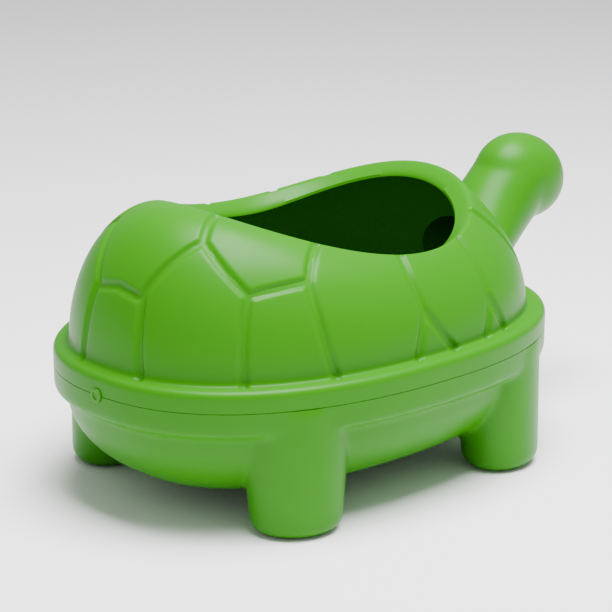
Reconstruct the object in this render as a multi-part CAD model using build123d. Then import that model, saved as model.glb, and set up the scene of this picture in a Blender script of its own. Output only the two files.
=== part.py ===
"""Turtle-shaped play sandbox in two rotationally moulded halves, with a vent plug.

The tub is the lower half: a round-bottomed bowl, the lower half of the rim band, four hollow
legs and a locating lip that stands up inside the seam.  The cover is the upper half: the upper
half of the rim band, a domed shell with a wide saddle-edged mouth, and a hollow neck and head.
The plug closes the vent hole that both halves share on the seam at the tail.

Millimetres.  +X points from tail to head, +Y to the left side, +Z up.  The shapes are drawn
about the centre of the rim, with the feet on Z = 0, and moved at the end so that the origin is
under the centre of the whole object.
"""
import os
from math import cos, hypot, pi, radians, sin

from build123d import *

# Rim: the outline of the widest band, seen from above
rim_half_length = 450.0
rim_half_width = 336.0
rim_squareness = 2.34          # 2 is an ellipse, larger is squarer
rim_egg = 0.06                 # how much wider the outline is towards the head
seam_height = 220.0
rim_top_height = 256.0
rim_bottom_height = 176.0
rim_edge_round = 14.0

# Moulding
wall = 5.0
seam_clearance = 1.0           # between the locating lip and the cover's band
lip_height = 20.0
lip_thickness = 4.0
seat_depth = 12.0              # thickness of the inward step that carries the locating lip

# Bowl
bowl_inset = 20.0              # how far the bowl is set in under the rim
bowl_bottom_height = 32.0
bowl_bottom_inset = 215.0      # how much smaller the flat bottom is than the rim
bowl_steps = 6

# Legs
leg_angle = 57.0               # degrees from the long axis, in the outline's own angle
leg_foot_length = 152.0        # along the rim
leg_top_length = 184.0
leg_foot_depth = 124.0         # across the rim
leg_top_depth = 132.0
leg_foot_proud = 6.0          # how far the foot stands outside the rim outline
leg_top_proud = 10.0
foot_round = 30.0

# Shell
shell_inset = 29.0             # ledge between the rim edge and the foot of the shell
shell_setback = 4.0
mouth_centre = 30.8
mouth_half_length = 280.2
mouth_half_width = 235.2
mouth_squareness = 2.03
mouth_egg = 0.09
mouth_middle_height = 447.3
mouth_saddle = 37.7            # rise at head and tail, and fall at the sides
mouth_tail_rise = 13.7         # the tail end stands higher than the head end
mouth_quarter_dip = 3.7
bulge_middle = 63.1            # degrees of arc in the shell's profile, on average
bulge_tail_more = 38.0         # degrees more at the tail, and less at the head
bulge_ends_more = 2.9
bulge_quarters_more = 2.1
flange_in = 27.0               # the mouth's turned-in edge
flange_drop = 21.0
section_step = 10              # degrees between two sections of the shell
profile_steps = 6

# Neck and head
neck_angle = 42.0
neck_mark = (499.0, 371.0)     # a point on the neck's axis, x and z
neck_radius = 73.0
neck_root_half_width = 105.0
neck_root_half_height = 52.0
neck_root_back = 150.0         # from the mark back to the hidden end of the neck
neck_root_lift = 12.0          # the root's centre rises off the axis, clear of the rim
head_centre = (558.0, 407.0)
head_half_length = 97.0
head_half_height = 79.0
head_half_width = 73.0
head_tilt = 22.0               # nose down

# Vent plug
vent_hole_radius = 5.0
plug_clearance = 0.4
plug_ring_radius = 12.0
plug_ring_height = 3.0
plug_recess_radius = 6.5
plug_recess_depth = 2.0
plug_shank_length = 22.0
plug_seat_gap = 0.3


# --- Outlines -------------------------------------------------------------------------------
def oval_point(angle, inset, z, shift=0.0):
    """A point of the rim outline, moved in by inset and along by shift."""
    c = cos(angle)
    s = sin(angle)
    reach = (abs(c) ** rim_squareness + abs(s) ** rim_squareness) ** (-1 / rim_squareness)
    x = (rim_half_length - inset) * c * reach
    y = (rim_half_width - inset) * s * reach * (1 + rim_egg * c * reach)
    return Vector(x + shift, y, z)


def oval_wire(inset, z, shift=0.0, points=36):
    """The rim outline as one closed curve, level at z."""
    ring = [oval_point(2 * pi * i / points, inset, z, shift) for i in range(points)]
    return Wire([Edge.make_spline(ring, periodic=True)])


def oval_block(inset, low, high, shift=0.0):
    """A straight-sided block with the rim's outline."""
    return Solid.extrude(Face(oval_wire(inset, low, shift)), Vector(0, 0, high - low))


def band_body(inset, low, high, rounded_end):
    """Half of the rim band, filled, with its outer edge rounded at one end."""
    block = oval_block(inset, low, high)
    edges = [edge for edge in block.edges() if abs(edge.center().Z - rounded_end) < 1]
    return block.fillet(rim_edge_round - inset, edges)


def vent_axis():
    """The vent hole's middle on the band's outer face, at the tail."""
    return Pos(-rim_half_length, 0, seam_height) * Rot(0, 90, 0)


def vent_hole():
    """The round hole that passes through the seam, both walls and the locating lip."""
    return vent_axis() * Cylinder(vent_hole_radius, 2 * plug_shank_length)


# --- Tub ------------------------------------------------------------------------------------
def bowl_body(skin):
    """The bowl, filled; skin is how far its surface is moved inwards."""
    top = rim_bottom_height + wall
    bottom = bowl_bottom_height + skin
    wires = []
    for i in range(bowl_steps + 1):
        sweep = pi / 2 * i / bowl_steps
        inset = bowl_inset + skin + (bowl_bottom_inset - bowl_inset) * (1 - cos(sweep))
        wires.append(oval_wire(inset, top - (top - bottom) * sin(sweep)))
    return Solid.make_loft(wires)


def leg_oval(angle, z, length, depth, proud):
    """A level ellipse, its long axis along the rim and its outer edge proud of it."""
    step = 0.001
    before = oval_point(angle - step, 0, z)
    after = oval_point(angle + step, 0, z)
    along = (after - before).normalized()
    out = Vector(along.Y, -along.X, 0)
    middle = oval_point(angle, 0, z) + out * (proud - depth / 2)
    return Plane(origin=middle, x_dir=along, z_dir=(0, 0, 1)) * Ellipse(length / 2, depth / 2)


def leg_body(angle, skin, top):
    """One leg, filled, from the floor up into the rim band."""
    less = 2 * skin
    foot = leg_oval(angle, skin, leg_foot_length - less, leg_foot_depth - less, leg_foot_proud - skin)
    head = leg_oval(angle, top, leg_top_length - less, leg_top_depth - less, leg_top_proud - skin)
    leg = Solid.make_loft([foot.wire(), head.wire()])
    sole_edges = [edge for edge in leg.edges() if abs(edge.center().Z - skin) < 1]
    return leg.fillet(foot_round - skin, sole_edges)


def leg_angles():
    """The four legs, two towards the head and two towards the tail."""
    return [radians(a) for a in (leg_angle, 180 - leg_angle, 180 + leg_angle, 360 - leg_angle)]


def tub_solid():
    """Bowl, lower rim band and legs as one hollow moulding, with its locating lip."""
    body = band_body(0, rim_bottom_height, seam_height, rim_bottom_height)
    body = body + bowl_body(0)
    for angle in leg_angles():
        body = body + leg_body(angle, 0, seam_height - rim_edge_round)
    hollow = band_body(wall, rim_bottom_height + wall, seam_height + lip_height, rim_bottom_height + wall)
    hollow = hollow + bowl_body(wall)
    for angle in leg_angles():
        hollow = hollow + leg_body(angle, wall, seam_height - rim_edge_round - wall)
    lip_outside = wall + seam_clearance
    lip_inside = lip_outside + lip_thickness
    seat = oval_block(wall / 2, seam_height - seat_depth, seam_height)
    lip = oval_block(lip_outside, seam_height - seat_depth, seam_height + lip_height)
    opening = oval_block(lip_inside, seam_height - seat_depth - 1, seam_height + lip_height + 1)
    return (body - hollow) + ((seat + lip) - opening) - vent_hole()


# --- Cover ----------------------------------------------------------------------------------
def mouth_point(angle):
    """The crest of the mouth's edge."""
    c = cos(angle)
    s = sin(angle)
    reach = (abs(c) ** mouth_squareness + abs(s) ** mouth_squareness) ** (-1 / mouth_squareness)
    x = mouth_centre + mouth_half_length * c * reach
    y = mouth_half_width * s * reach * (1 + mouth_egg * c * reach)
    rise = mouth_saddle * cos(2 * angle) - mouth_tail_rise * c + mouth_quarter_dip * cos(3 * angle)
    return Vector(x, y, mouth_middle_height + rise)


def profile_points(angle):
    """The shell's outer curve at one angle, as (out, up) pairs from its foot to its crest."""
    foot = oval_point(angle, shell_inset, rim_top_height, -shell_setback)
    crest = mouth_point(angle)
    reach = hypot(foot.X - crest.X, foot.Y - crest.Y)
    bulge = bulge_middle - bulge_tail_more * cos(angle)
    bulge += bulge_ends_more * cos(2 * angle) + bulge_quarters_more * cos(3 * angle)
    arc = radians(bulge)
    points = []
    for i in range(profile_steps + 1):
        sweep = arc * i / profile_steps
        out = reach * (cos(sweep) - cos(arc)) / (1 - cos(arc))
        points.append((out, foot.Z + (crest.Z - foot.Z) * sin(sweep) / sin(arc)))
    return points


def offset_points(points, distance):
    """The same curve moved inwards, square to itself."""
    moved = []
    for i, (out, up) in enumerate(points):
        before = points[max(i - 1, 0)]
        after = points[min(i + 1, len(points) - 1)]
        run = after[0] - before[0]
        rise = after[1] - before[1]
        length = hypot(run, rise)
        moved.append((out - distance * rise / length, up + distance * run / length))
    return moved


def shell_section(angle, kind):
    """One closed section of the shell's wall, or of the room inside it when kind is "room"."""
    foot = oval_point(angle, shell_inset, rim_top_height, -shell_setback)
    crest = mouth_point(angle)
    outwards = Vector(foot.X - crest.X, foot.Y - crest.Y, 0).normalized()
    floor = rim_top_height - wall

    def place(point):
        spot = crest + outwards * point[0]
        return Vector(spot.X, spot.Y, point[1])

    outer = profile_points(angle)
    if kind == "room":
        middle = offset_points(outer, wall / 2)
        corners = [middle[-1], (middle[-1][0] - 1, floor - wall), (middle[0][0], floor - wall), middle[0]]
        curve = Edge.make_spline([place(point) for point in middle])
        lines = [Edge.make_line(place(a), place(b)) for a, b in zip(corners, corners[1:])]
        return Wire([curve] + lines)
    inner = offset_points(outer, wall)
    inner[0] = (inner[0][0], floor)
    edge_top = (-flange_in, crest.Z - flange_drop)
    edge_low = (-flange_in, crest.Z - flange_drop - wall)
    corners = [outer[-1], edge_top, edge_low, inner[-1]]
    lines = [Edge.make_line(place(a), place(b)) for a, b in zip(corners, corners[1:])]
    outer_curve = Edge.make_spline([place(point) for point in outer])
    inner_curve = Edge.make_spline([place(point) for point in reversed(inner)])
    base = Edge.make_line(place(inner[0]), place((outer[0][0], floor)))
    riser = Edge.make_line(place((outer[0][0], floor)), place(outer[0]))
    return Wire([outer_curve] + lines + [inner_curve, base, riser])


def shell_body(kind):
    """The shell's wall, or the room inside it: one side lofted, and mirrored."""
    sections = [shell_section(radians(a), kind) for a in range(0, 181, section_step)]
    side = Solid.make_loft(sections)
    return side + side.mirror(Plane.XZ)




# --- Neck and head --------------------------------------------------------------------------
def neck_plane(along, lift=0.0):
    """A plane square across the neck, at a distance along its axis from the mark."""
    tilt = radians(neck_angle)
    x = neck_mark[0] + along * cos(tilt) - lift * sin(tilt)
    z = neck_mark[1] + along * sin(tilt) + lift * cos(tilt)
    return Plane(origin=(x, 0, z), x_dir=(0, 1, 0), z_dir=(cos(tilt), 0, sin(tilt)))


def neck_body(skin):
    """The neck, filled, from inside the shell to inside the head."""
    root = neck_plane(-neck_root_back, neck_root_lift)
    sections = [
        root * Ellipse(neck_root_half_width - skin, neck_root_half_height - skin),
        neck_plane(0) * Ellipse(neck_radius - skin, neck_radius - skin),
        neck_plane(neck_radius) * Ellipse(neck_radius - skin, neck_radius - skin),
    ]
    return Solid.make_loft([section.wire() for section in sections])


def head_body(skin):
    """The head, filled: an egg shape that points a little down."""
    size = (head_half_length - skin, head_half_width - skin, head_half_height - skin)
    egg = scale(Sphere(1), by=size)
    return Pos(head_centre[0], 0, head_centre[1]) * Rot(0, head_tilt, 0) * egg


def below(height):
    """Everything under a level plane, as a block."""
    reach = 2 * head_centre[0]
    return Pos(0, 0, height) * Box(2 * reach, reach, reach, align=(Align.CENTER, Align.CENTER, Align.MAX))


def cover_solid():
    """Upper rim band, shell, neck and head as one hollow moulding."""
    band = band_body(0, seam_height, rim_top_height, rim_top_height)
    band = band - band_body(wall, seam_height, rim_top_height - wall, rim_top_height - wall)
    band = band - oval_block(shell_inset + wall / 2, seam_height, rim_top_height + 1, -shell_setback)
    outside = neck_body(0) + head_body(0)
    neck = outside - shell_body("room") - below(rim_top_height - wall / 2)
    passage = (neck_body(wall) + head_body(wall)) - below(rim_top_height)
    return (band + shell_body("wall") + neck) - passage - vent_hole()


# --- Vent plug ------------------------------------------------------------------------------
def vent_plug_solid():
    """A push-in plug: a raised ring with a sunk middle, on a plain shank."""
    outwards = (Align.CENTER, Align.CENTER, Align.MAX)
    ring = Pos(0, 0, -plug_seat_gap) * Cylinder(plug_ring_radius, plug_ring_height, align=outwards)
    recess_level = -plug_seat_gap - plug_ring_height + plug_recess_depth
    recess = Pos(0, 0, recess_level) * Cylinder(plug_recess_radius, plug_ring_height, align=outwards)
    inwards = (Align.CENTER, Align.CENTER, Align.MIN)
    shank_radius = vent_hole_radius - plug_clearance
    shank_start = -plug_seat_gap - plug_ring_height + plug_recess_depth
    shank = Pos(0, 0, shank_start) * Cylinder(shank_radius, plug_shank_length, align=inwards)
    return vent_axis() * ((ring - recess) + shank)


# --- The whole object -----------------------------------------------------------------------
def overall_shift():
    """How far everything moves along X, so that the origin is under the middle."""
    tilt = radians(head_tilt)
    head_reach = head_centre[0] + hypot(head_half_length * cos(tilt), head_half_height * sin(tilt))
    tail_reach = rim_half_length + plug_seat_gap + plug_ring_height
    return (tail_reach - head_reach) / 2


def main():
    """Build each piece, centre it and write it."""
    os.makedirs("parts", exist_ok=True)
    pieces = {"tub": tub_solid(), "cover": cover_solid(), "vent_plug": vent_plug_solid()}
    for name, piece in pieces.items():
        export_step(Pos(overall_shift(), 0, 0) * piece, "parts/" + name + ".step")
        print(name, "volume", round(piece.volume), "mm3")


main()
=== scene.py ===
# %% [markdown]
# # A turtle-shaped play sandbox
# The sandbox is moulded in two halves of green polyethylene: a round-bottomed tub on four hollow
# legs, and a cover with a domed shell, an open mouth, a neck and a head.  A small plug closes
# the vent hole on the seam at the tail.  The CAD model is the frame: it fixes every size and
# place, and this file gives the same pieces their soft moulded edges, their raised plates and
# their plastic finish.

import math

import bpy
import numpy as np
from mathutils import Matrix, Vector
from mathutils.kdtree import KDTree


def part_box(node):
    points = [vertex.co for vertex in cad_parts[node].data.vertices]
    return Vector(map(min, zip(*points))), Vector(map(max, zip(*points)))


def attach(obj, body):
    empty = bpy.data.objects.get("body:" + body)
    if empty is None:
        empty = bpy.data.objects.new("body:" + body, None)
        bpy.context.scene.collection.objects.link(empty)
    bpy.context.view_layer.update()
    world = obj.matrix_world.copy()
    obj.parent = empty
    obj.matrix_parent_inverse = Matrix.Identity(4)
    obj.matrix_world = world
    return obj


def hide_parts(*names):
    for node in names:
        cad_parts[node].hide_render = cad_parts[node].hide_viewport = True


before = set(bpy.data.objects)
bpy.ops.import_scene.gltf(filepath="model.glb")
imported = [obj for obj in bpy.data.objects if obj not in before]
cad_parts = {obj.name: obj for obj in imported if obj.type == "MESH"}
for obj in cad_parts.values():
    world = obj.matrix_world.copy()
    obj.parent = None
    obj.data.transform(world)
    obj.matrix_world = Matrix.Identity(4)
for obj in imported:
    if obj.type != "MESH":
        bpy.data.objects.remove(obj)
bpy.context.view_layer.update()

# %% Sizes in metres, read from the frame where a box gives them
tub_low, tub_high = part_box("tub")
cover_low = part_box("cover")[0]
plug_low, plug_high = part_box("vent_plug")
hair = 0.0003                              # keeps the soft pieces inside the CAD box
middle_x = (tub_low.x + tub_high.x) / 2
rim_half_length = (tub_high.x - tub_low.x) / 2 - hair
rim_half_width = 0.336 - hair
seam = cover_low.z
rim_top = seam + 0.036
rim_bottom = seam - 0.044
wall = 0.005
print("rim", round(2 * rim_half_length, 4), "m long, seam at", round(seam, 4), "m")

# %% [markdown]
# ## Wrapping a grid round a shape
# Every skin of this object is a sheet that follows a formula: a point for each place around the
# rim and each step along a section.  It could be drawn as curves and lofted, but Blender has no
# loft operator, so a flat grid is added instead and each row of its points is moved to one ring
# of the shape.  Merging the points that meet closes the sheet.


# %% Helpers for making pieces
def deselect():
    """Leave nothing selected, so that an operator touches one piece only."""
    if bpy.context.object and bpy.context.object.mode != "OBJECT":
        bpy.ops.object.mode_set(mode="OBJECT")
    bpy.ops.object.select_all(action="DESELECT")


def choose(piece):
    """Select one piece and make it the active one."""
    deselect()
    piece.select_set(True)
    bpy.context.view_layer.objects.active = piece


def wrap_grid(name, rings):
    """A sheet whose rows are the rings: an array of rows x points x 3."""
    rows, points = rings.shape[0], rings.shape[1]
    deselect()
    bpy.ops.mesh.primitive_grid_add(x_subdivisions=points - 1, y_subdivisions=rows - 1, size=1)
    piece = bpy.context.object
    piece.name = name
    flat = np.zeros(len(piece.data.vertices) * 3)
    piece.data.vertices.foreach_get("co", flat)
    flat = flat.reshape(-1, 3)
    column = np.rint((flat[:, 0] + 0.5) * (points - 1)).astype(int)
    row = np.rint((flat[:, 1] + 0.5) * (rows - 1)).astype(int)
    piece.data.vertices.foreach_set("co", rings[row, column].ravel())
    bpy.ops.object.mode_set(mode="EDIT")
    bpy.ops.mesh.select_all(action="SELECT")
    bpy.ops.mesh.remove_doubles(threshold=1e-5)
    bpy.ops.mesh.normals_make_consistent(inside=False)
    bpy.ops.object.mode_set(mode="OBJECT")
    return piece


def apply_modifier(piece, kind, **settings):
    """Add a modifier, set it and apply it."""
    choose(piece)
    modifier = piece.modifiers.new(kind.lower(), kind)
    for key, value in settings.items():
        setattr(modifier, key, value)
    bpy.ops.object.modifier_apply(modifier=modifier.name)
    return piece


def join(pieces, name):
    """Join pieces into one, which keeps the first one's place in the list of objects."""
    choose(pieces[0])
    for piece in pieces[1:]:
        piece.select_set(True)
    bpy.ops.object.join()
    joined = bpy.context.object
    joined.name = name
    return joined


def report(piece):
    """Print how large a piece is."""
    piece.data.calc_loop_triangles()
    corners = np.array([tuple(v.co) for v in piece.data.vertices])
    print(piece.name, len(piece.data.loop_triangles), "triangles, from",
          corners.min(0).round(4), "to", corners.max(0).round(4))


# %% [markdown]
# ## The rim outline
# Seen from above, the rim is squarer than an ellipse and a little wider towards the head.  A
# superellipse gives that with one number for the squareness and one for the egg shape.  The bowl,
# the ledge and the foot of the shell are the same outline, set in by a few centimetres.


# %% Rim outline
squareness = 2.34
egg = 0.06


def outline(angle, inset, z, shift=0.0):
    """Points of the rim outline at these angles, moved in by inset; one row for each."""
    c, s = np.cos(angle), np.sin(angle)
    reach = (np.abs(c) ** squareness + np.abs(s) ** squareness) ** (-1 / squareness)
    x = (rim_half_length - inset) * c * reach
    y = (rim_half_width - inset) * s * reach * (1 + egg * c * reach)
    return np.stack([middle_x + shift + x, y, z + 0 * x], -1)


def turn(points):
    """Angles once around, with the last on top of the first."""
    return np.linspace(0, 2 * math.pi, points + 1)


def corner(a, b, c, steps):
    """Rings that round the corner b between a and c, ends left out."""
    rings = []
    for i in range(1, steps + 1):
        w = i / (steps + 1)
        rings.append((1 - w) ** 2 * a + 2 * w * (1 - w) * b + w ** 2 * c)
    return rings


def straight(a, b, steps):
    """Rings evenly spaced from a to just before b."""
    return [a + (b - a) * i / steps for i in range(steps)]


# %% [markdown]
# ## The shell
# The shell rises from the ledge to the crest of the mouth.  Its profile is an arc: nearly straight
# at the head, and bulging past upright at the tail, so that the back of the shell stands a little
# above its edge.  The mouth is almost an ellipse seen from above, and it dips at the sides like a
# saddle, a little higher at the tail.  At the crest the skin turns in and down as a narrow
# flange with a cut edge.

# %% Shell shape
shell_inset = 0.029
shell_setback = 0.004
mouth_middle_x = middle_x + 0.0308
mouth_half_length = 0.2802
mouth_half_width = 0.2352
mouth_squareness = 2.03
mouth_egg = 0.09
mouth_height = 0.4473 - hair
mouth_saddle = 0.0377
mouth_tail_rise = 0.0137                   # higher at the tail, lower at the head
mouth_quarter_dip = 0.0037
bulge_middle, bulge_tail_more = 63.1, 38.0       # degrees of arc in the shell's profile
bulge_ends_more, bulge_quarters_more = 2.9, 2.1
flange_start_in, flange_start_drop = 0.009, 0.006
flange_in = 0.027
flange_drop = 0.021


def crest(angle):
    """The mouth's crest line."""
    c, s = np.cos(angle), np.sin(angle)
    power = mouth_squareness
    reach = (np.abs(c) ** power + np.abs(s) ** power) ** (-1 / power)
    x = mouth_middle_x + mouth_half_length * c * reach
    y = mouth_half_width * s * reach * (1 + mouth_egg * c * reach)
    z = mouth_height + mouth_saddle * np.cos(2 * angle)
    z = z - mouth_tail_rise * c + mouth_quarter_dip * np.cos(3 * angle)
    return np.stack([x, y, z], -1)


def shell_ring(angle, s, depth=0.0):
    """The shell at a share s of the way from foot to crest, moved in by depth."""
    foot, top = outline(angle, shell_inset, rim_top, -shell_setback), crest(angle)
    bulge = bulge_middle - bulge_tail_more * np.cos(angle)
    bulge = bulge + bulge_ends_more * np.cos(2 * angle) + bulge_quarters_more * np.cos(3 * angle)
    arc = np.radians(bulge)
    out = (np.cos(s * arc) - np.cos(arc)) / (1 - np.cos(arc))
    up = np.sin(s * arc) / np.sin(arc)
    ring = top + (foot - top) * out[..., None]
    ring[..., 2] = foot[..., 2] + (top[..., 2] - foot[..., 2]) * up
    if depth:
        nudge = 0.01
        ahead, behind = shell_ring(angle, s + nudge), shell_ring(angle, s - nudge)
        outwards = (foot - top) * [1, 1, 0]
        reach = np.linalg.norm(outwards, axis=-1, keepdims=True)
        outwards = outwards / reach
        run = ((ahead - behind) * outwards).sum(-1, keepdims=True)
        rise = (ahead - behind)[..., 2:3]
        length = np.hypot(run, rise)
        ring = ring - depth * outwards * rise / length + depth * run / length * [0, 0, 1]
    return ring


def flange_ring(angle, inwards, drop):
    """A ring of the mouth's flange, inside and below the crest."""
    foot, top = outline(angle, shell_inset, rim_top, -shell_setback), crest(angle)
    outwards = (foot - top) * [1, 1, 0]
    outwards = outwards / np.linalg.norm(outwards, axis=-1, keepdims=True)
    return top - inwards * outwards - [0, 0, drop]


# %% Section of the cover, as rings from the seam up, over the crest and down inside
def cover_rings(angle, shell_rows):
    """The cover's closed section, ring by ring, and where the shell's rows start and end."""
    edge_round, seam_round = 0.014, 0.0012
    ledge_end_out, ledge_end_up = 0.007, 0.0005
    face_low = outline(angle, 0, seam + seam_round)
    face_top = outline(angle, 0, rim_top - edge_round)
    ledge_out = outline(angle, edge_round, rim_top)
    ledge_in = outline(angle, shell_inset - ledge_end_out, rim_top + ledge_end_up, -shell_setback)
    rings = straight(outline(angle, seam_round, seam), face_low, 1)
    rings += straight(face_low, face_top, 1) + [face_top]
    rings += corner(face_top, outline(angle, 0, rim_top), ledge_out, 5) + [ledge_out]
    rings += [(ledge_out + ledge_in) / 2, ledge_in]
    start, stop = 0.035, 0.975
    rings += corner(ledge_in, shell_ring(angle, 0.0), shell_ring(angle, start), 3)
    first = len(rings)
    for i in range(shell_rows + 1):
        rings.append(shell_ring(angle, start + (stop - start) * i / shell_rows))
    last = len(rings)
    flange_start = flange_ring(angle, flange_start_in, flange_start_drop)
    rings += corner(rings[-1], crest(angle), flange_start, 5)
    edge = flange_ring(angle, flange_in, flange_drop)
    under = flange_ring(angle, flange_in + 0.001, flange_drop + wall)
    rings += straight(flange_start, edge, 2) + [edge, under]
    inner_highest, inner_span, inner_steps = 0.97, 0.92, 8       # shares of the way up inside
    for i in range(inner_steps + 1):
        rings.append(shell_ring(angle, inner_highest - inner_span * i / inner_steps, wall))
    inner_top = rim_top - wall
    rings += [outline(angle, shell_inset + 0.004, inner_top, -shell_setback)]
    inner_corner = [(0.014, 0.0), (0.008, 0.002), (wall, 0.009)]       # inset, drop
    rings += [outline(angle, inset, inner_top - drop) for inset, drop in inner_corner]
    rings += [outline(angle, wall, seam), rings[0]]
    return np.array(rings), first, last


# %% [markdown]
# ## The plates
# Channels 5 mm deep, 22 mm wide at the skin and 5 mm wide at the floor, divide the shell into
# plates.  They could be cut with booleans, but the walls would be hard-edged.  A moulded channel
# is soft, so its lines are laid out on the shell, each point of the skin gets a weight from its
# distance to the nearest line, and a Displace modifier presses the skin in by that weight.  One
# side is laid out and mirrored.

# %% Channel lines, as (degrees round from the head, share of the way up)
tail_line = [(180, 0.33), (191, 0.31)]
side_lines = [
    [(194.4, -0.05), (191.3, 0.33)],                 # beside the narrow tail plate
    [(191.3, 0.33), (203.8, 0.67)],
    [(203.8, 0.67), (195.5, 1.03)],
    [(203.8, 0.67), (221.9, 0.447)],
    [(221.9, 0.447), (223.6, -0.05)],
    [(221.9, 0.447), (235.8, 0.61)],
    [(235.8, 0.61), (233.3, 1.03)],
    [(235.8, 0.61), (240.6, 0.32), (245.5, -0.05)],
    [(263.4, 1.03), (266.4, 0.7), (269, 0.42)],
    [(269, 0.42), (266.3, -0.05)],
    [(269, 0.42), (279, -0.05)],
    [(294.8, 1.03), (292.3, 0.4)],
    [(292.3, 0.4), (288.9, -0.05)],
    [(292.3, 0.4), (297.6, -0.05)],
    [(315.2, 1.03), (318.7, 0.67), (321, 0.35)],     # the crease beside the neck
]
channel_floor, channel_edge = 0.0025, 0.0110     # half widths
channel_depth = 0.005
channel_spots = 120                        # points along each stretch of a line
skin_reach = 1e-4                          # a point nearer than this lies on the outer skin


def channel_points():
    """Points along every channel line, on both sides of the shell."""
    spots = []
    for line in [tail_line] + side_lines:
        for (a0, s0), (a1, s1) in zip(line, line[1:]):
            w = np.linspace(0, 1, channel_spots)
            angle, share = np.radians(a0 + (a1 - a0) * w), s0 + (s1 - s0) * w
            ring = shell_ring(angle, share)
            spots += [ring, ring * [1, -1, 1]]
    return np.concatenate(spots)


# %% Make the cover's band, shell and flange
around, up_the_shell = 696, 80
rings, first_row, last_row = cover_rings(turn(around), up_the_shell)
cover = wrap_grid("cover_moulding", rings)
cover.vertex_groups.new(name="channel")
lines = channel_points()
near = KDTree(len(lines))
for number, spot in enumerate(lines):
    near.insert(spot, number)
near.balance()
outer = rings[first_row - 4:last_row + 3].reshape(-1, 3)
skin = KDTree(len(outer))
for number, spot in enumerate(outer):
    skin.insert(spot, number)
skin.balance()
pressed = 0
for vertex in cover.data.vertices:
    distance = near.find(vertex.co)[2]
    if distance > channel_edge or skin.find(vertex.co)[2] > skin_reach:
        continue
    t = min(1.0, (channel_edge - distance) / (channel_edge - channel_floor))
    weight = t * t * (3 - 2 * t)
    cover.vertex_groups["channel"].add([vertex.index], weight, "REPLACE")
    pressed += 1
print("channels press in", pressed, "points")
apply_modifier(cover, "DISPLACE", strength=-channel_depth, mid_level=0.0, vertex_group="channel",
               direction="NORMAL")
report(cover)

# %% [markdown]
# ## Neck and head
# The neck is a tube that leans forward at about 42 degrees, and the head is an egg that points a
# little down.  They are one skin on the real cover.  The two shapes are joined, a voxel remesh
# makes one skin of them, and a few rounds of smoothing give the soft hollow under the jaw.

# %% Neck and head shape
neck_lean = math.radians(42)
neck_mark = Vector((middle_x + 0.499, 0, 0.371))
neck_radius = 0.0728
head_middle = Vector((middle_x + 0.558, 0, 0.407))
head_size = (0.097, 0.073, 0.079)
head_tilt = math.radians(22)
neck_root_back, neck_into_head = 0.150, 0.065    # how far the tube runs each way from the mark
neck_root_wider, neck_root_lower, neck_root_lift = 0.032, 0.018, 0.012
neck_steps = 24
neck_voxel, passage_voxel = 0.004, 0.006
neck_smoothing = 0.1                       # rounds of smoothing, times the voxel size
neck_sunk = 0.0025                         # the neck's cut end lies this far below the ledge's top
point_size = 1e-7                          # half width of the rings that close the tube's ends


def neck_ring(along, half_width, half_height, lift, points):
    """One ring square across the neck."""
    a = turn(points)
    forward = np.array([math.cos(neck_lean), 0, math.sin(neck_lean)])
    up = np.array([-math.sin(neck_lean), 0, math.cos(neck_lean)])
    centre = np.array(neck_mark) + along * forward + lift * up
    across = np.array([0, 1, 0]) * half_width
    return centre + np.cos(a)[:, None] * across + np.sin(a)[:, None] * up * half_height


def neck_and_head(skin, voxel):
    """Neck and head as one closed skin, made smaller by skin."""
    rows = [neck_ring(-neck_root_back, point_size, point_size, neck_root_lift, 64)]
    for i in range(neck_steps + 1):
        along = -neck_root_back + (neck_root_back + neck_into_head) * i / neck_steps
        back = max(0.0, -along / neck_root_back) ** 1.5
        width = neck_radius + neck_root_wider * back - skin
        height = neck_radius - neck_root_lower * back - skin
        rows.append(neck_ring(along, width, height, neck_root_lift * back, 64))
    rows.append(neck_ring(neck_into_head, point_size, point_size, 0, 64))
    tube = wrap_grid("neck", np.array(rows))
    deselect()
    bpy.ops.mesh.primitive_uv_sphere_add(segments=96, ring_count=48, radius=1, location=head_middle,
                                         rotation=(0, head_tilt, 0))
    egg_shape = bpy.context.object
    egg_shape.scale = [length - skin for length in head_size]
    bpy.ops.object.transform_apply(location=True, rotation=True, scale=True)
    both = join([tube, egg_shape], "neck_and_head")
    apply_modifier(both, "REMESH", mode="VOXEL", voxel_size=voxel)
    apply_modifier(both, "SMOOTH", factor=0.5, iterations=int(neck_smoothing / voxel))
    return both


def cut_level(piece, height, keep_above):
    """Cut at a level plane; an upper part has its cut closed, a lower one stays open."""
    choose(piece)
    bpy.ops.object.mode_set(mode="EDIT")
    bpy.ops.mesh.select_all(action="SELECT")
    bpy.ops.mesh.bisect(plane_co=(0, 0, height), plane_no=(0, 0, 1), clear_inner=keep_above,
                        clear_outer=not keep_above, use_fill=keep_above)
    bpy.ops.object.mode_set(mode="OBJECT")


neck = neck_and_head(0.0, neck_voxel)
passage = neck_and_head(wall, passage_voxel)
cut_level(neck, rim_top - neck_sunk, True)
cut_level(passage, rim_top, True)
report(neck)

# %% [markdown]
# The neck must end inside the shell's wall, or its tube would show in the mouth.  A plain block
# the shape of the room under the shell cuts it off there.

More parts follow.
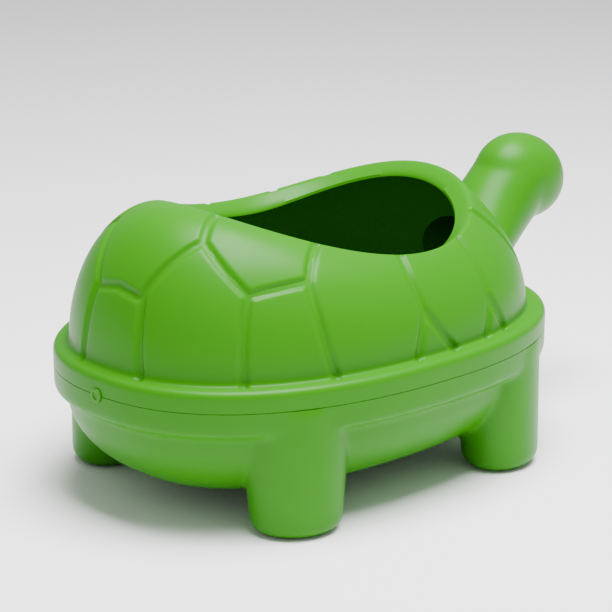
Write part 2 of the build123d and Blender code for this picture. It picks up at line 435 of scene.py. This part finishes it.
# %% Cut the neck off at the shell
room_angle = turn(160)
room_skin, room_floor, room_top = 0.003, 0.2, 0.42    # the skin is inside the shell's 5 mm wall
room_highest, room_flange = 0.96, 0.008
foot_ring = shell_ring(room_angle, 0.0, room_skin)
room_rings = [foot_ring * 0 + [middle_x, 0, room_floor]]
room_rings += [foot_ring * [1, 1, 0] + [0, 0, room_floor]]
for share in np.linspace(0, room_highest, 25):
    room_rings.append(shell_ring(room_angle, share, room_skin))
room_rings += [flange_ring(room_angle, room_flange, room_flange)]
room_rings += [foot_ring * 0 + [mouth_middle_x, 0, room_top]]
room = wrap_grid("room", np.array(room_rings))
apply_modifier(neck, "BOOLEAN", operation="DIFFERENCE", object=room, solver="EXACT")
bpy.data.objects.remove(room)
report(neck)

# %% Eyes: a small round nub on each side of the head
eye_ahead, eye_aside, eye_height, eye_radius = 0.585, 0.0595, 0.4385, 0.0055
for side in (-1, 1):
    deselect()
    eye_place = (middle_x + eye_ahead, side * eye_aside, eye_height)
    bpy.ops.mesh.primitive_uv_sphere_add(segments=24, ring_count=12, radius=eye_radius,
                                         location=eye_place)
    nub = bpy.context.object
    bpy.ops.object.transform_apply(location=True, rotation=True, scale=True)
    neck = join([neck, nub], "neck_and_head")

# %% Join the neck to the shell and open the way inside
for operation, tool in (("UNION", neck), ("DIFFERENCE", passage)):
    apply_modifier(cover, "BOOLEAN", operation=operation, object=tool, solver="EXACT")
    bpy.data.objects.remove(tool)
report(cover)

# %% [markdown]
# ## The tub
# The tub's band, bowl and legs are drawn as plain closed shapes.  A voxel remesh makes them one
# skin and smoothing rounds the hollows where the legs run into the bowl, as the soft plastic does
# in the mould.  The skin is then cut level at the seam and given its wall.

# %% Tub shape
bowl_inset = 0.020
bowl_bottom = 0.032
bowl_bottom_inset = 0.215
leg_angle = 57
leg_foot, leg_top = (0.077, 0.065), (0.093, 0.068)
leg_proud = (0.008, 0.004)
foot_round = 0.026
leg_into_band = 0.006                      # the leg's top lies this far below the seam
body_above = 0.02                          # drawn this far past the seam, then cut
band_round_up, band_round_in = 0.012, 0.016
tub_around = 200
tub_voxel, tub_smoothing = 0.0052, 9
tub_edge_gap = 0.0001                      # the cut edge lies this far below the seam


def body_rings(angle):
    """Band and bowl from above the seam down to the middle of the bottom."""
    rings = [outline(angle, rim_half_width - 1e-4, seam + body_above)]
    rings += [outline(angle, 0, seam + body_above), outline(angle, 0, seam)]
    low = outline(angle, 0, rim_bottom + band_round_up)
    under = outline(angle, band_round_in, rim_bottom)
    rings += [low] + corner(low, outline(angle, 0.001, rim_bottom), under, 6) + [under]
    for i in range(1, 25):
        sweep = math.pi / 2 * i / 24
        inset = bowl_inset + (bowl_bottom_inset - bowl_inset) * (1 - math.cos(sweep))
        z = rim_bottom - (rim_bottom - bowl_bottom) * math.sin(sweep)
        rings.append(outline(angle, inset, z))
    last, centre = rings[-1], np.array([middle_x, 0, bowl_bottom])
    rings += [centre + (last - centre) * [share, share, 1] for share in (0.5, 0.0)]
    return np.array(rings)


def leg_rings(angle):
    """One leg from the middle of its sole up into the band."""
    before, after = outline(angle - 0.001, 0, 0.0), outline(angle + 0.001, 0, 0.0)
    along = (after - before) / np.linalg.norm(after - before)
    out = np.array([along[1], -along[0], 0])
    root = outline(angle, 0, hair)
    low, high = [root + out * (proud - half[1])
                 for proud, half in zip(leg_proud, (leg_foot, leg_top))]
    a = turn(72)
    unit = np.cos(a)[:, None] * along, np.sin(a)[:, None] * out
    top = seam - leg_into_band
    rings = [low + 0 * unit[0]]
    for i in range(10):
        sweep = math.pi / 2 * i / 9
        less = foot_round * (1 - math.sin(sweep))
        z = foot_round * (1 - math.cos(sweep))
        size = [half - less for half in leg_foot]
        rings.append(low + unit[0] * size[0] + unit[1] * size[1] + [0, 0, z])
    for i in range(1, 13):
        w = i / 12
        size = [leg_foot[k] + (leg_top[k] - leg_foot[k]) * w for k in (0, 1)]
        z = foot_round + (top - foot_round) * w
        rings.append(low + (high - low) * w + unit[0] * size[0] + unit[1] * size[1] + [0, 0, z])
    return np.array(rings + [high + 0 * unit[0] + [0, 0, top]])


# %% Make the tub
parts = [wrap_grid("tub_moulding", body_rings(turn(tub_around)))]
for degrees in (leg_angle, 180 - leg_angle, 180 + leg_angle, 360 - leg_angle):
    parts.append(wrap_grid("leg", leg_rings(math.radians(degrees))))
tub = join(parts, "tub_moulding")
apply_modifier(tub, "REMESH", mode="VOXEL", voxel_size=tub_voxel)
apply_modifier(tub, "SMOOTH", factor=0.5, iterations=tub_smoothing)
cut_level(tub, seam - tub_edge_gap, False)
apply_modifier(tub, "SOLIDIFY", thickness=wall, offset=-1, use_rim=True)
report(tub)

# %% Locating lip, on its inward step
lip_angle = turn(tub_around)
lip_low, lip_step, lip_top = seam - 0.012, seam - 0.0002, seam + 0.020
lip_root, lip_out, lip_in = 0.0025, 0.006, 0.010       # insets from the rim outline
lip_bevel = 0.001
lip_profile = [(lip_root, lip_low), (lip_root, lip_step), (lip_out, lip_step),
               (lip_out, lip_top - lip_bevel), (lip_out + lip_bevel, lip_top),
               (lip_in - lip_bevel, lip_top), (lip_in, lip_top - lip_bevel),
               (lip_in, lip_low), (lip_root, lip_low)]
lip = wrap_grid("lip", np.array([outline(lip_angle, inset, z) for inset, z in lip_profile]))
tub = join([tub, lip], "tub_moulding")
report(tub)

# %% Vent plug: a raised ring with a sunk middle, on a plain shank
plug_height = (plug_low.z + plug_high.z) / 2
plug_profile = [                           # radius, depth behind the plug's face
    (0, 0.0020), (0.0045, 0.0020), (0.0062, 0.0017), (0.0068, 0.0004), (0.0078, 0), (0.0098, 0),
    (0.0115, 0.0007), (0.0120, 0.0018), (0.0120, 0.0028), (0.0117, 0.0030), (0.0046, 0.0030),
    (0.0046, 0.0225), (0.0036, 0.0240), (0, 0.0240)]
a = turn(64)
plug_rings = [np.stack([plug_low.x + depth + 0 * a, radius * np.cos(a),
                        plug_height + radius * np.sin(a)], -1) for radius, depth in plug_profile]
plug = wrap_grid("vent_plug_moulding", np.array(plug_rings))
report(plug)

# %% Smooth shading
for piece in (cover, tub, plug):
    choose(piece)
    bpy.ops.object.shade_smooth_by_angle(angle=math.radians(40))


# %% [markdown]
# ## The plastic
# Rotationally moulded polyethylene is one colour right through, with a satin skin.  Close to, the
# skin has a faint orange peel from the mould and slow waves where the wall cooled unevenly, so
# the gloss breaks up a little.  The colour is kept nearly even, a touch deeper in places.


# %% Shader maths as expressions
class Socket:
    """Wraps a socket so that sums and products add Math nodes."""

    def __init__(self, tree, link):
        self.tree, self.link = tree, link

    def node(self, kind, settings=None, **inputs):
        """Add a node, set it, then feed its sockets; returns the node."""
        made = self.tree.nodes.new(kind)
        for key, value in (settings or {}).items():
            setattr(made, key, value)
        for key, value in inputs.items():
            by_number = key[0] == "i" and key[1:].isdigit()
            socket = made.inputs[int(key[1:]) if by_number else key]
            if isinstance(value, Socket):
                self.tree.links.new(value.link, socket)
            else:
                socket.default_value = value
        return made

    def math(self, operation, a, b):
        made = self.node("ShaderNodeMath", {"operation": operation}, i0=a, i1=b)
        return Socket(self.tree, made.outputs[0])

    def __add__(self, other):
        return self.math("ADD", self, other)

    def __radd__(self, other):
        return self.math("ADD", other, self)

    def __mul__(self, other):
        return self.math("MULTIPLY", self, other)

    def __rmul__(self, other):
        return self.math("MULTIPLY", other, self)


def noise(place, scale, detail):
    """Noise on the piece's own coordinates."""
    made = place.node("ShaderNodeTexNoise", Vector=place, Scale=scale, Detail=detail)
    return Socket(place.tree, made.outputs["Fac"])


def green_plastic(name, colour, deep):
    """Satin polyethylene between two close greens."""
    material = bpy.data.materials.new(name)
    material.use_nodes = True
    tree = material.node_tree
    shader = tree.nodes["Principled BSDF"]
    place = Socket(tree, tree.nodes.new("ShaderNodeTexCoord").outputs["Object"])
    waves = noise(place, 5.0, 2.0)
    mottle = noise(place, 34.0, 3.0)
    peel = noise(place, 420.0, 2.0)
    mix = place.node("ShaderNodeMix", {"data_type": "RGBA"}, Factor=waves * 0.7 + mottle * 0.3)
    mix.inputs[6].default_value = (*colour, 1)
    mix.inputs[7].default_value = (*deep, 1)
    tree.links.new(mix.outputs[2], shader.inputs["Base Color"])
    rough = 0.30 + 0.10 * waves + 0.06 * mottle
    tree.links.new(rough.link, shader.inputs["Roughness"])
    bump = place.node("ShaderNodeBump", Height=waves * 0.9 + mottle * 0.08 + peel * 0.02,
                      Distance=0.004, Strength=0.35)
    tree.links.new(bump.outputs[0], shader.inputs["Normal"])
    shader.inputs["IOR"].default_value = 1.5
    shader.inputs["Specular IOR Level"].default_value = 0.15
    return material


green = green_plastic("green_polyethylene", (0.027, 0.195, 0.0), (0.021, 0.175, 0.0))
plug_green = green_plastic("plug_polyethylene", (0.029, 0.205, 0.0), (0.023, 0.185, 0.0))
for piece, material in ((cover, green), (tub, green), (plug, plug_green)):
    piece.data.materials.clear()
    piece.data.materials.append(material)

# %% Each piece rides on its body and stands for its CAD node
for piece, body, node, slot in ((cover, "cover", "cover", "green_plastic"),
                                (tub, "tub", "tub", "green_plastic"),
                                (plug, "vent_plug", "vent_plug", "plug_plastic")):
    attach(piece, body)
    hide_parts(node)

# %% [markdown]
# ## Floor, light and camera
# The floor is pale and plain.  One large soft lamp hangs over the near side, and an even pale sky
# fills the shadows, so that the tops are bright and the upright sides are a deeper green.

# %% Floor
deselect()
bpy.ops.mesh.primitive_plane_add(size=30, location=(0, 0, 0))
floor = bpy.context.object
floor.name = "floor"
paint = bpy.data.materials.new("pale_floor")
paint.use_nodes = True
paint.node_tree.nodes["Principled BSDF"].inputs["Base Color"].default_value = (0.92, 0.92, 0.92, 1)
paint.node_tree.nodes["Principled BSDF"].inputs["Roughness"].default_value = 0.9
floor.data.materials.append(paint)

# %% Light
world = bpy.data.worlds.new("studio")
bpy.context.scene.world = world
world.use_nodes = True
world.node_tree.nodes["Background"].inputs[0].default_value = (1, 1, 1, 1)
world.node_tree.nodes["Background"].inputs[1].default_value = 0.55


def soft_lamp(name, place, power, size):
    """A large square lamp that faces the middle of the object."""
    deselect()
    bpy.ops.object.light_add(type="AREA", location=place)
    lamp = bpy.context.object
    lamp.name = name
    lamp.data.energy = power
    lamp.data.size = size
    aim = Vector((0, 0, 0.3)) - Vector(place)
    lamp.rotation_euler = aim.to_track_quat("-Z", "Y").to_euler()


soft_lamp("key", place=(0.0, -0.6, 3.9), power=600, size=2.6)

# %% Camera
azimuth, elevation = math.radians(46.1), math.radians(16.97)
aim_height, camera_distance = 0.2726, 4.1396
look = Vector((math.cos(azimuth) * math.cos(elevation), math.sin(azimuth) * math.cos(elevation),
               -math.sin(elevation)))
camera = bpy.data.objects.new("camera", bpy.data.cameras.new("camera"))
bpy.context.scene.collection.objects.link(camera)
camera.location = Vector((middle_x, 0, aim_height)) - look * camera_distance
camera.rotation_euler = look.to_track_quat("-Z", "Y").to_euler()
camera.data.lens = 142.8
camera.data.sensor_width = 36
camera.data.shift_x = 0.0089
camera.data.shift_y = 0.0007
bpy.context.scene.camera = camera
